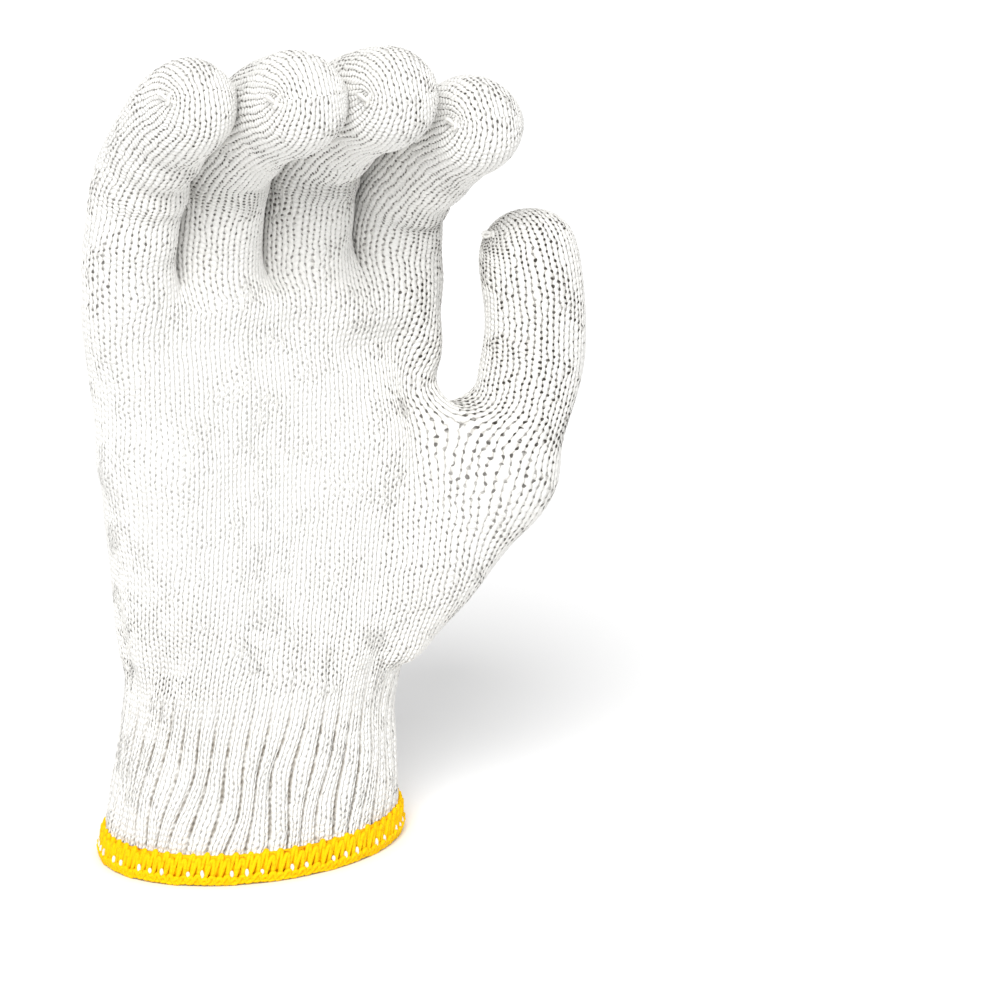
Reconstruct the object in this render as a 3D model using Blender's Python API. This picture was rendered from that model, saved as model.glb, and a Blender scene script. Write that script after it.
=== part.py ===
"""Cotton work glove for the right hand, knitted in one piece and shown filled as worn.

Metres, +Z up through the fingers, the palm faces -Y and the thumb is at +X. The origin is the middle of the wrist
opening, at the edge of the cuff. Each knitted piece is a wall of one thickness round the space for the hand.
"""
import math
from collections import namedtuple

import bmesh
import bpy
import numpy as np
from mathutils import Vector

# Cuff
CUFF_HEIGHT = 0.043
RIM_WIDTH = 0.0715
RIM_DEPTH = 0.0515
WRIST_WIDTH = 0.067
WRIST_DEPTH = 0.046
WRIST_SHIFT = 0.0033
CUFF_TWIST = math.radians(13)
RIM_FLARE = 0.8
RIB_DEPTH = 0.0011
CUFF_RINGS = (0.08, 0.30, 0.52, 0.76, 1.0)
RIB_START = 0.06
RIB_END = 0.72

# Palm
PALM_WIDTH = 0.089
PALM_LENGTH = 0.105
PALM_THICKNESS = 0.028
FINGER_LENGTH = 0.080
FINGER_WIDTH = 0.0216
FOLD_DEPTH = 0.0009
FOLD_PITCH = 0.0115
FOLD_REACH = 1.4
THUMB_LENGTH = 0.0525
THUMB_WIDTH = 0.0228

# How deep a tube is to its width, how long its rounded tip is to its width, how square it is, and the tip's rings
TUBE_DEPTH = 1.04
TIP_LENGTH = 0.55
TIP_SQUARENESS = 0.30
TIP_TURNS = (28, 54, 78)

# Knit
WALL = 0.0019
SEAM_GAP = 0.0003
ROW_HEIGHT = 0.006

# Overlock seam
SEAM_HEIGHT = 0.0070
SEAM_INNER_HEIGHT = 0.0045
SEAM_THICKNESS = 0.0011
SEAM_ROUNDING = 0.4

# Stitch columns, two wales each, on one side of the hand
FINGER_COLUMNS = (5, 5, 5, 4)
THUMB_COLUMNS = 5
PALM_COLUMNS = sum(FINGER_COLUMNS)
RING_COLUMNS = 2 * (PALM_COLUMNS + THUMB_COLUMNS)
HEEL_ROWS = 10
KNUCKLE_ROWS = 6

# The fingers part at KNUCKLE_SHARE, a share of the palm's length. Across and forward are shares of the palm's width
# and thickness. Lengths and widths are shares of FINGER_LENGTH and FINGER_WIDTH, and angles are in degrees.
# knuckle is where the first bend is centred, as a share of the finger's length.
KNUCKLE_SHARE = 0.895
Finger = namedtuple("Finger", "name across forward length width tilt knuckle bend_1 bend_2 lean")
FINGERS = (
    Finger("little_finger", -0.318, 0.05, 0.82, 0.96, 8, 0.38, 34, 18, 7),
    Finger("ring_finger", -0.072, -0.03, 0.97, 1.00, 8, 0.34, 48, 17, 5),
    Finger("middle_finger", 0.176, -0.03, 0.97, 1.02, 8, 0.33, 49, 18, 4),
    Finger("index_finger", 0.424, 0.06, 0.79, 1.00, 9, 0.24, 43, 18, 7),
)

# A finger takes its tilt and lean over TURN_IN, a share of its length, and each bend is spread over BEND_SPREAD.
TURN_IN = 0.20
BEND_SPREAD = 0.30
SECOND_KNUCKLE = 0.66

# The softly merged bones that fill the palm: places as shares of the palm's width, thickness and length,
# radii as shares of its thickness.
Bone = namedtuple("Bone", "x0 y0 z0 r0 x1 y1 z1 r1")
BONES = (
    Bone(-0.103, 0.00, -0.15, 0.77, -0.120, 0.00, 0.30, 0.56),
    Bone(0.178, 0.00, -0.15, 0.77, 0.190, 0.00, 0.30, 0.54),
    Bone(-0.175, -0.02, 0.15, 0.48, -0.316, -0.02, 0.86, 0.385),
    Bone(-0.100, 0.00, 0.15, 0.54, -0.205, 0.02, 0.77, 0.405),
    Bone(-0.030, 0.00, 0.15, 0.57, -0.075, 0.03, 0.88, 0.405),
    Bone(0.050, 0.00, 0.15, 0.58, 0.050, 0.03, 0.79, 0.405),
    Bone(0.130, 0.00, 0.15, 0.57, 0.175, 0.03, 0.89, 0.405),
    Bone(0.200, 0.00, 0.15, 0.52, 0.305, 0.01, 0.77, 0.405),
    Bone(0.260, -0.04, 0.15, 0.46, 0.430, -0.05, 0.86, 0.405),
    Bone(0.260, -0.24, 0.00, 0.50, 0.610, -0.76, 0.43, 0.440),
    Bone(0.610, -0.76, 0.43, 0.440, 0.680, -0.85, 0.68, 0.410),
    Bone(-0.150, -0.14, 0.05, 0.50, -0.235, -0.14, 0.50, 0.470),
    Bone(0.120, -0.20, 0.05, 0.44, 0.300, -0.30, 0.50, 0.400),
)
BONE_BLEND = 0.10

# The edge between two fingers is drawn out from front to back.
CROTCH_SPREAD = 1.9

# The soft creases of the palm and the gathers above the cuff: ends across and up as shares of the palm's width and
# length, width as a share of its length, depth of its thickness. A negative depth is a pad between creases.
Crease = namedtuple("Crease", "x0 z0 x1 z1 width depth")
CREASES = (
    Crease(-0.34, 0.79, 0.40, 0.71, 0.035, 0.045),
    Crease(-0.30, 0.86, 0.44, 0.80, 0.030, -0.030),
    Crease(0.30, 0.70, 0.44, 0.58, 0.045, 0.060),
    Crease(0.02, 0.20, 0.30, 0.56, 0.050, 0.025),
)
GATHER_DEPTH = 0.0006
GATHER_HEIGHT = 0.016

# The thumb's path: its foot as shares of the palm, and its leans from upright, in degrees.
THUMB_FOOT = (0.648, -0.80, 0.52)
THUMB_LEAN_FOOT = 17
THUMB_LEAN_TIP = -4
THUMB_TILT_FOOT = 6
THUMB_TILT_TIP = -8
THUMB_LEAN_SPREAD = 0.7

# The crotch of the thumb: front corner, middle and back corner, as shares of the palm.
THUMB_CROTCH = ((0.475, -0.76, 0.560), (0.505, -0.46, 0.600), (0.510, -0.10, 0.560))

COTTON = (0.86, 0.85, 0.82)
YELLOW = (1.0, 0.60, 0.02)

UP = Vector((0, 0, 1))
PARTS = bpy.data.collections.new("cotton_work_glove")


def clear_scene():
    for thing in list(bpy.data.objects):
        bpy.data.objects.remove(thing, do_unlink=True)


def smooth(value):
    value = min(max(value, 0.0), 1.0)
    return value * value * (3 - 2 * value)


def mix(low, high, share):
    return low + (high - low) * share


def palm_point(x, y, z):
    """A place given as shares of the palm's width, thickness and length above the cuff."""
    return Vector((x * PALM_WIDTH, y * PALM_THICKNESS, CUFF_HEIGHT + z * PALM_LENGTH))


def wrist_point(turn, height, grow=0.0):
    """A point of the cuff's outer face: turn 0 to 1 from the little finger's side round by the palm."""
    share = height / CUFF_HEIGHT
    flare = 1 - smooth(share / RIM_FLARE)
    width = mix(WRIST_WIDTH, RIM_WIDTH, flare) / 2 + grow
    depth = mix(WRIST_DEPTH, RIM_DEPTH, flare) / 2 + grow
    angle = 2 * math.pi * turn - CUFF_TWIST * (1 - share)
    return Vector((WRIST_SHIFT * share - width * math.cos(angle), -depth * math.sin(angle), height))


# Rings and rows

def new_ring(bm, points):
    made = bmesh.ops.create_circle(bm, segments=len(points), radius=WRIST_WIDTH)["verts"]
    ring = [made[0]]
    while len(ring) < len(made):
        ring.append(next(e.other_vert(ring[-1]) for e in ring[-1].link_edges
                         if e.other_vert(ring[-1]) not in ring[-2:]))
    place(ring, points)
    return ring


def place(ring, points):
    for vert, point in zip(ring, points):
        vert.co = point


def add_row(bm, ring, region):
    """Knits one more row on a closed ring of vertices and gives back the new ring in the same order."""
    edges = [bm.edges.get((a, b)) for a, b in zip(ring, ring[1:] + ring[:1])]
    made = bmesh.ops.extrude_edge_only(bm, edges=edges)["geom"]
    layer = bm.faces.layers.int["region"]
    for face in made:
        if isinstance(face, bmesh.types.BMFace):
            face[layer] = region
    fresh = {vert for vert in made if isinstance(vert, bmesh.types.BMVert)}
    return [next(e.other_vert(v) for e in v.link_edges if e.other_vert(v) in fresh) for v in ring]


# Fingers

def finger_angles(count, start):
    step = 2 * math.pi / count
    return [start + step * index for index in range(count)]


def tube_path(foot, length, tilt_at, lean_at, samples=60):
    """The centre line from foot: places and directions at even steps, leaning by the given angles in degrees."""
    places, directions = [Vector(foot)], []
    for index in range(samples + 1):
        share = index / samples
        tilt, lean = math.radians(tilt_at(share)), math.radians(lean_at(share))
        along = Vector((math.sin(lean) * math.cos(tilt), -math.sin(tilt), math.cos(lean) * math.cos(tilt)))
        directions.append(along)
        if index < samples:
            places.append(places[-1] + along * length / samples)
    return places, directions


def finger_path(finger):
    foot = palm_point(finger.across, -finger.forward, KNUCKLE_SHARE)
    length = FINGER_LENGTH * finger.length

    def bend(share, centre):
        return smooth((share - centre) / BEND_SPREAD + 0.5)

    def tilt(share):
        knuckles = finger.bend_1 * bend(share, finger.knuckle) + finger.bend_2 * bend(share, SECOND_KNUCKLE)
        return finger.tilt * smooth(share / TURN_IN) + knuckles

    return tube_path(foot, length, tilt, lambda share: finger.lean * smooth(share / TURN_IN))


def thumb_path():
    def tilt(share):
        return mix(THUMB_TILT_FOOT, THUMB_TILT_TIP, smooth(share))

    def lean(share):
        return mix(THUMB_LEAN_FOOT, THUMB_LEAN_TIP, smooth(share / THUMB_LEAN_SPREAD))

    return tube_path(palm_point(*THUMB_FOOT), THUMB_LENGTH, tilt, lean)


def tube_ring(path, share, angles, width, depth):
    """The points of a tube's ring at a share of its length."""
    places, directions = path
    index = round(share * (len(places) - 1))
    along = directions[index]
    side = Vector((1, 0, 0))
    side = (side - along * side.dot(along)).normalized()
    front = side.cross(along).normalized()
    centre = places[index]
    return [centre + side * math.sin(a) * width / 2 + front * math.cos(a) * depth / 2 for a in angles]


def tip_ring(path, share, turn, angles, width):
    """A ring of the rounded tip, turn degrees from the tube's last full ring towards the end."""
    deep = math.cos(math.radians(turn))
    wide = mix(deep, 1.0, TIP_SQUARENESS)
    flat = tube_ring(path, share, angles, width * wide, width * TUBE_DEPTH * deep)
    along = path[1][round(share * (len(path[0]) - 1))]
    rises = [math.sqrt(1 - (math.sin(a) * wide) ** 2 - (math.cos(a) * deep) ** 2) for a in angles]
    return [point + along * rise * TIP_LENGTH * width for point, rise in zip(flat, rises)]


def bend_folds(points, angles, centre, share, length, knuckle):
    """Gathers the inside of a bend into soft folds."""
    from_knuckle = (share - knuckle) * length
    reach = math.exp(-(from_knuckle / (FOLD_REACH * FOLD_PITCH)) ** 2)
    height = FOLD_DEPTH * reach * math.cos(2 * math.pi * from_knuckle / FOLD_PITCH)
    return [point + (point - centre).normalized() * height * max(math.cos(angle), 0.0)
            for point, angle in zip(points, angles)]


def knit_tube(bm, ring, path, length, width, angles, region, knuckle=None):
    """Knits a tube on its first ring, up to the last ring before its tip is closed."""
    straight = 1 - TIP_LENGTH * width / length
    rows = max(round(length * straight / ROW_HEIGHT), 4)
    for row in range(1, rows + 1):
        ring = add_row(bm, ring, region)
        share = straight * row / rows
        points = tube_ring(path, share, angles, width, width * TUBE_DEPTH)
        if knuckle is not None:
            centre = sum(points, Vector()) / len(points)
            points = bend_folds(points, angles, centre, share, length, knuckle)
        place(ring, points)
    for turn in TIP_TURNS:
        ring = add_row(bm, ring, region)
        place(ring, tip_ring(path, straight, turn, angles, width))
    return ring


def close_tip(bm, pairs):
    """Joins the front of a tip to its back, stitch by stitch."""
    for front, back in pairs:
        front.co = (front.co + back.co) / 2
    bmesh.ops.weld_verts(bm, targetmap={back: front for front, back in pairs})


# The palm's surface

def bone_arrays():
    starts = np.array([palm_point(b.x0, b.y0, b.z0) for b in BONES])
    ends = np.array([palm_point(b.x1, b.y1, b.z1) for b in BONES])
    radii = np.array([(b.r0, b.r1) for b in BONES]) * PALM_THICKNESS
    return starts, ends, radii


def to_surface(points, bones):
    """Moves points onto the surface of the softly merged bones."""
    starts, ends, radii = bones
    blend = BONE_BLEND * PALM_THICKNESS
    spans = ends - starts
    for _ in range(3):
        share = np.einsum("pbi,bi->pb", points[:, None] - starts, spans) / np.einsum("bi,bi->b", spans, spans)
        share = np.clip(share, 0, 1)
        away = points[:, None] - (starts + share[..., None] * spans)
        reach = np.linalg.norm(away, axis=2)
        depth = reach - (radii[:, 0] + share * (radii[:, 1] - radii[:, 0]))
        nearest = depth.min(axis=1, keepdims=True)
        weight = np.exp((nearest - depth) / blend)
        total = weight.sum(axis=1, keepdims=True)
        value = nearest[:, 0] - blend * np.log(total[:, 0])
        slope = np.einsum("pb,pbi->pi", weight / total, away / reach[..., None])
        points = points - (value / np.einsum("pi,pi->p", slope, slope))[:, None] * slope
    return points


def relax(free, rounds=90):
    """Evens out the free rows of the palm and keeps them on the merged bones."""
    bones = bone_arrays()
    for _ in range(rounds):
        means = [sum((e.other_vert(v).co for e in v.link_edges), Vector()) / len(v.link_edges) for v in free]
        points = to_surface(np.array([v.co.lerp(mean, 0.5) for v, mean in zip(free, means)]), bones)
        for vert, point in zip(free, points):
            vert.co = Vector(point)


# The whole knitted skin

def palm_row(knuckles, thumb_ring):
    """The first guess of the row at the thumb's crotch, which relax then evens out."""
    level = CUFF_HEIGHT + PALM_LENGTH * THUMB_CROTCH[0][2]
    points = {index: Vector((point.x, point.y, level)) for index, point in knuckles.items()}
    points.update(thumb_ring)
    return points


def knit_skin():
    """The open surface of palm, fingers and thumb, with each face's region."""
    bm = bmesh.new()
    bm.faces.layers.int.new("region")
    back = 2 * PALM_COLUMNS + 2 * THUMB_COLUMNS
    palm_side, back_side = PALM_COLUMNS, PALM_COLUMNS + 2 * THUMB_COLUMNS
    splits = [sum(FINGER_COLUMNS[:index]) for index in range(1, len(FINGER_COLUMNS))]

    # The rings' places in the finger row, by column
    knuckles, finger_rings = {}, []
    edges = [0] + splits + [PALM_COLUMNS]
    for number, finger in enumerate(FINGERS):
        low, high = edges[number], edges[number + 1]
        front = list(range(low, high + 1))
        rear = list(range(back - high, back - low + 1))
        if number == 0:
            rear = rear[:-1]
        order = front + (["crotch"] if number == 3 else []) + rear
        count = len(order)
        step = 2 * math.pi / count
        first = -math.pi / 2 if number == 0 else -math.pi / 2 + step / 2
        angles = finger_angles(count, first)
        width = FINGER_WIDTH * finger.width
        path = finger_path(finger)
        points = tube_ring(path, 0, angles, width, width * TUBE_DEPTH)
        finger_rings.append((order, angles, path, width))
        for index, point in zip(order, points):
            knuckles[index] = (knuckles[index] + point) / 2 if index in knuckles else point
    for split in splits:
        for index in (split, back - split):
            knuckles[index].y *= CROTCH_SPREAD
    thumb_order = list(range(palm_side, back_side + 1)) + ["crotch"]
    step = 2 * math.pi / len(thumb_order)
    thumb_angles = finger_angles(len(thumb_order), -math.pi / 2 + step)
    thumb_points = tube_ring(thumb_path(), 0, thumb_angles, THUMB_WIDTH, THUMB_WIDTH)
    split_row = palm_row(knuckles, dict(zip(thumb_order, thumb_points)))
    crotch = [palm_point(*share) for share in THUMB_CROTCH]
    split_row[palm_side], split_row["crotch"], split_row[back_side] = crotch

    # The heel, from the cuff to the thumb's crotch
    wrist = [wrist_point(index / back, CUFF_HEIGHT) for index in range(back)]
    ring = new_ring(bm, wrist)
    fixed = set(ring)
    for row in range(1, HEEL_ROWS + 1):
        ring = add_row(bm, ring, 0)
        share = row / HEEL_ROWS
        place(ring, [wrist[index].lerp(split_row[index], share) for index in range(back)])
    heel = ring
    middle = bm.verts.new(split_row["crotch"])
    bm.edges.new((heel[palm_side], middle))
    bm.edges.new((middle, heel[back_side]))

    # The palm, from the thumb's crotch to the fingers
    order = list(range(palm_side + 1)) + ["crotch"] + list(range(back_side, back))
    ring = [middle if index == "crotch" else heel[index] for index in order]
    thumb_ring = heel[palm_side:back_side + 1] + [middle]
    for row in range(1, KNUCKLE_ROWS + 1):
        ring = add_row(bm, ring, 0)
        share = row / KNUCKLE_ROWS
        place(ring, [split_row[index].lerp(knuckles[index], share) for index in order])
    top = dict(zip(order, ring))
    fixed.update(ring)
    free = [vert for vert in bm.verts if vert not in fixed]
    for split in splits:
        bm.edges.new((top[split], top[back - split]))

    # The fingers and the thumb
    for number, (order, angles, path, width) in enumerate(finger_rings):
        ring = [top[index] for index in order]
        length = FINGER_LENGTH * FINGERS[number].length
        ring = knit_tube(bm, ring, path, length, width, angles, number + 1, FINGERS[number].knuckle)
        half = len(ring) // 2
        if number == 0:
            pairs = [(ring[index], ring[len(ring) - index]) for index in range(1, half + 1)]
        else:
            pairs = [(ring[index], ring[len(ring) - 1 - index]) for index in range(half)]
        close_tip(bm, pairs)
    ring = knit_tube(bm, thumb_ring, thumb_path(), THUMB_LENGTH, THUMB_WIDTH, thumb_angles, len(FINGERS) + 1)
    close_tip(bm, [(ring[index], ring[len(ring) - 2 - index]) for index in range(THUMB_COLUMNS)])
    relax(free)
    face_outwards(bm)
    shape_palm(bm)
    return bm


# Creases and gathers

def crease_depth(place, crease):
    start = Vector((crease.x0 * PALM_WIDTH, crease.z0 * PALM_LENGTH))
    end = Vector((crease.x1 * PALM_WIDTH, crease.z1 * PALM_LENGTH))
    spot, span = Vector((place.x, place.z - CUFF_HEIGHT)), end - start
    share = min(max((spot - start).dot(span) / span.dot(span), 0), 1)
    away = (spot - start - span * share).length / (crease.width * PALM_LENGTH)
    return crease.depth * PALM_THICKNESS * math.exp(-away * away)


def shape_palm(bm):
    """Presses the creases into the palm and gathers the knit above the cuff."""
    bm.normal_update()
    layer = bm.faces.layers.int["region"]
    moves = {}
    for vert in bm.verts:
        if any(face[layer] for face in vert.link_faces) or vert.is_boundary:
            continue
        facing = max(-vert.normal.y, 0.0)
        depth = sum(crease_depth(vert.co, crease) for crease in CREASES) * facing
        turn = math.atan2(-vert.co.y, WRIST_SHIFT - vert.co.x) * RING_COLUMNS / 3
        depth += GATHER_DEPTH * math.cos(turn) * math.exp(-(vert.co.z - CUFF_HEIGHT) / GATHER_HEIGHT)
        moves[vert] = -vert.normal * depth
    for vert, move in moves.items():
        vert.co += move


# Walls

def face_outwards(bm):
    """Turns all faces of a tube away from its inside."""
    bmesh.ops.recalc_face_normals(bm, faces=bm.faces)
    bm.normal_update()
    centre = sum((vert.co for vert in bm.verts), Vector()) / len(bm.verts)
    if sum(face.normal.dot(face.calc_center_median() - centre) * face.calc_area() for face in bm.faces) < 0:
        bmesh.ops.reverse_faces(bm, faces=bm.faces)
        bm.normal_update()


def wall_node(name, skin, region, colour, cuts):
    """One knitted piece: its faces of the skin, drawn back from the cuts and thickened inwards."""
    bm = skin.copy()
    layer = bm.faces.layers.int["region"]
    bmesh.ops.delete(bm, geom=[face for face in bm.faces if face[layer] != region], context="FACES")
    face_outwards(bm)
    rims = {vert for edge in bm.edges if edge.is_boundary for vert in edge.verts}
    inwards, slides = {}, {}
    for vert in bm.verts:
        inwards[vert] = -vert.normal
        if vert in rims:
            axis = cuts(vert.co)
            inwards[vert] = -(vert.normal - axis * vert.normal.dot(axis)).normalized()
            inner = [e.other_vert(vert) for e in vert.link_edges if not e.is_boundary]
            slides[vert] = sum((v.co - vert.co for v in inner), Vector()).normalized() * SEAM_GAP / 2
    for vert in bm.verts:
        vert.co += inwards[vert] * SEAM_GAP / 2 + slides.get(vert, Vector())
    thicken(bm, inwards)
    finish_node(name, bm, colour)


def thicken(bm, inwards):
    """Closes an open surface into a wall: a second face inside it and a rim between them."""
    places = {tuple(vert.co): inwards[vert] for vert in bm.verts}
    made = bmesh.ops.extrude_face_region(bm, geom=list(bm.faces), use_keep_orig=True)["geom"]
    for vert in made:
        if isinstance(vert, bmesh.types.BMVert):
            vert.co += places[tuple(vert.co)] * WALL


def finish_node(name, bm, colour):
    mesh = bpy.data.meshes.new(name)
    bmesh.ops.recalc_face_normals(bm, faces=bm.faces)
    if bm.calc_volume(signed=True) < 0:
        bmesh.ops.reverse_faces(bm, faces=bm.faces)
    bmesh.ops.triangulate(bm, faces=bm.faces)
    bm.to_mesh(mesh)
    bm.free()
    mesh.shade_smooth()
    mesh.materials.append(cloth(name, colour))
    thing = bpy.data.objects.new(name, mesh)
    PARTS.objects.link(thing)


def cloth(name, colour):
    material = bpy.data.materials.new(name + "_yarn")
    material.use_nodes = True
    shader = material.node_tree.nodes["Principled BSDF"]
    shader.inputs["Base Color"].default_value = (*colour, 1)
    shader.inputs["Roughness"].default_value = 0.9
    return material


# Cuff

def rib_height(height):
    """How far the ribs stand out at a height: none under the overlock seam and none at the palm."""
    above_seam = smooth((height - SEAM_HEIGHT) / (RIB_START * CUFF_HEIGHT))
    below_palm = 1 - smooth((height / CUFF_HEIGHT - RIB_END) / (1 - RIB_END))
    return RIB_DEPTH * above_seam * below_palm


def cuff_ring(height, grow=0.0, ribbed=True):
    points = []
    for index in range(2 * RING_COLUMNS):
        groove = -rib_height(height) if ribbed and index % 2 else 0.0
        points.append(wrist_point(index / (2 * RING_COLUMNS), height, groove + grow))
    return points


def make_cuff():
    """The ribbed cuff, one rib for each stitch column."""
    bottom, top = SEAM_THICKNESS + SEAM_GAP, CUFF_HEIGHT - SEAM_GAP
    heights = [bottom, SEAM_HEIGHT] + [mix(SEAM_HEIGHT, top, share) for share in CUFF_RINGS]
    bm = bmesh.new()
    bm.faces.layers.int.new("region")
    ring = new_ring(bm, cuff_ring(heights[0]))
    bmesh.ops.delete(bm, geom=[face for face in bm.faces], context="FACES_ONLY")
    for height in heights[1:]:
        ring = add_row(bm, ring, 0)
        place(ring, cuff_ring(height))
    face_outwards(bm)
    thicken(bm, {vert: -Vector((vert.normal.x, vert.normal.y, 0)).normalized() for vert in bm.verts})
    finish_node("rib_cuff", bm, COTTON)


# Overlock seam

def make_overlock():
    """The overlock seam: a channel of yarn wrapped round the cuff's edge, up its outside and its inside."""
    outer_face, inner_face = SEAM_GAP, -WALL - SEAM_GAP
    outside, inside = outer_face + SEAM_THICKNESS, inner_face - SEAM_THICKNESS
    rounding = SEAM_ROUNDING * SEAM_THICKNESS
    profile = (
        (outside - rounding, 0.0), (outside, rounding), (outside, SEAM_HEIGHT - rounding),
        (outside - rounding, SEAM_HEIGHT), (outer_face, SEAM_HEIGHT), (outer_face, SEAM_THICKNESS),
        (inner_face, SEAM_THICKNESS), (inner_face, SEAM_INNER_HEIGHT),
        (inside, SEAM_INNER_HEIGHT), (inside, rounding), (inside + rounding, 0.0),
    )
    bm = bmesh.new()
    bm.faces.layers.int.new("region")

    def seam_ring(grow, height):
        return [wrist_point(index / RING_COLUMNS, height, grow) for index in range(RING_COLUMNS)]

    first = ring = new_ring(bm, seam_ring(*profile[0]))
    for step in profile[1:]:
        ring = add_row(bm, ring, 0)
        place(ring, seam_ring(*step))
    ends = [[bm.edges.get((a, b)) for a, b in zip(r, r[1:] + r[:1])] for r in (first, ring)]
    bmesh.ops.bridge_loops(bm, edges=ends[0] + ends[1])
    finish_node("edge_overlock", bm, YELLOW)


def build():
    clear_scene()
    bpy.context.scene.collection.children.link(PARTS)
    skin = knit_skin()
    thumb_foot, thumb_axis = (values[0] for values in thumb_path())

    def cut_axis(place):
        return thumb_axis if (place - thumb_foot).length < THUMB_WIDTH else UP

    names = ["palm_body"] + [finger.name for finger in FINGERS] + ["thumb"]
    for region, name in enumerate(names):
        wall_node(name, skin, region, COTTON, cut_axis)
    skin.free()
    make_cuff()
    make_overlock()


build()
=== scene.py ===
"""Cotton work glove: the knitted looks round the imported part.

One coarse cage of stitch columns and rows covers cuff, palm, thumb and fingers. It is refined once, the
stitches are raised on it, and it is then parted into the glove's knitted pieces. The cuff's edge is oversewn
with yellow yarn.
"""

import math
from collections import namedtuple

import bmesh
import bpy
import numpy as np
from mathutils import Matrix, Vector, noise


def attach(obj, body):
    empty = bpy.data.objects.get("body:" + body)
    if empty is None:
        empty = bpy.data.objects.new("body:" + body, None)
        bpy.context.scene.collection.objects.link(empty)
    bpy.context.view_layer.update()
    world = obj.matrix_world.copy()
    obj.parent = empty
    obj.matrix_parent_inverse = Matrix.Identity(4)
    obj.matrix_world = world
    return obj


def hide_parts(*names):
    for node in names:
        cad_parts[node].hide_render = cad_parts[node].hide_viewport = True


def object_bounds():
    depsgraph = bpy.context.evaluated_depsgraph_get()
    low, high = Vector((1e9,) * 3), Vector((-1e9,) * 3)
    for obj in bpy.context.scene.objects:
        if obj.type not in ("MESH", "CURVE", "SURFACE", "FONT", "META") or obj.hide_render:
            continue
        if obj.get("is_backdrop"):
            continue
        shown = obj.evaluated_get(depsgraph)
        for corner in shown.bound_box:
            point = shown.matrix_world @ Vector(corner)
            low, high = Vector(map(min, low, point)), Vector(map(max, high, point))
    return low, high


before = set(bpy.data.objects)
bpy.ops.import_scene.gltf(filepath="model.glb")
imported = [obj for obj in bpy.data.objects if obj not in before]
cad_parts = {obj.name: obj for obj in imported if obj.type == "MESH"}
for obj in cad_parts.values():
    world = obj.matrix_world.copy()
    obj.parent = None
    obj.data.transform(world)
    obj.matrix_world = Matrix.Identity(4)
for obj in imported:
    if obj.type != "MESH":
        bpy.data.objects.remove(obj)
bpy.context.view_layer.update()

# Cuff
CUFF_HEIGHT = 0.043
RIM_WIDTH = 0.0715
RIM_DEPTH = 0.0515
WRIST_WIDTH = 0.067
WRIST_DEPTH = 0.046
WRIST_SHIFT = 0.0033
CUFF_TWIST = math.radians(13)
RIM_FLARE = 0.8
RIB_DEPTH = 0.0009
RIB_GROOVE_WIDTH = 0.15
RIB_WANDER = 0.22
RIB_START = 0.0042
RIB_RISE = 0.0043
RIB_FADE_FROM = 0.70
RIB_FADE = 0.55

# Palm and fingers
PALM_WIDTH = 0.089
PALM_LENGTH = 0.105
PALM_THICKNESS = 0.028
FINGER_LENGTH = 0.080
FINGER_WIDTH = 0.0216
FOLD_DEPTH = 0.0014
FOLD_PITCH = 0.0115
FOLD_REACH = 1.4
THUMB_LENGTH = 0.0525
THUMB_WIDTH = 0.0228
WALL = 0.0019

# How deep a tube is to its width, how long and how square its rounded tip is, and the tip's rings in degrees
TUBE_DEPTH = 1.04
TIP_LENGTH = 0.55
TIP_SQUARENESS = 0.70
TIP_TURNS = (28, 54, 78)

# Knit: each cage column holds two wales and each cage row four courses
WALES = 2
COURSES = 4
ROW_HEIGHT = 0.006
STITCH_RELIEF = 0.00022
PINHOLE_DEPTH = 0.00035
WALE_SLANT = 0.5
LEG_BEADING = 0.25

# Overlock seam
SEAM_HEIGHT = 0.0070
SEAM_GAP = 0.0003
SEAM_STITCHES = 64
SEAM_YARN = 0.00052
SEAM_WANDER = 0.00022
SEAM_WANDER_PACE = (7.3, 0.37)
LOOP_STEPS = 14
LOOP_SQUARENESS = 2.0
LOOP_LEAN = 0.06

# The seam's threads, outside the edge and inside it: the low end above the rim in metres, the high end as a
# share of SEAM_HEIGHT, how far out each end lies as a share of the first loop's distance, and the phase.
Thread = namedtuple("Thread", "low high out_low out_high phase")
OUTER_THREADS = (
    Thread(0.0005, 1.00, 1.1, 0.9, 0.0),
    Thread(0.0006, 0.84, 1.2, 1.4, 0.5),
    Thread(0.0003, 0.30, 1.3, 2.0, 0.25),
    Thread(0.0003, 0.24, 1.2, 1.8, 0.75),
)
INNER_THREADS = (
    Thread(0.0003, 0.55, 0.0, -1.0, 0.0),
    Thread(0.0003, 0.60, 0.0, -1.0, 0.5),
)

# The yarn core under the loops: shares of SEAM_HEIGHT, its thickness, and how high its lower edge lies
CORE_THICKNESS = 0.00044
CORE_TOP = 0.95
CORE_SHOULDER = 0.89
CORE_INNER_TOP = 0.6
CORE_FOOT = 0.0006

# The white needle thread: in each NEEDLE_CYCLE stitches, those of NEEDLE_HIDDEN don't show
NEEDLE_CYCLE = 7
NEEDLE_HIDDEN = (2, 5)
NEEDLE_WIDTH = 0.00050
NEEDLE_LENGTH = 0.00092
NEEDLE_HEIGHT = 0.0025
NEEDLE_OUT = 0.00134
NEEDLE_UNEVENNESS = (0.25, 2.4)

# Closing knots at the tips
KNOT_YARN = 0.00040
KNOT_REACH = 0.0018
KNOT_PLACE = 0.72
KNOT_SINK = 0.0006
KNOT_STEPS = 48
KNOT_UNEVENNESS = 0.4
KNOT_NARROWNESS = 0.7

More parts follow.
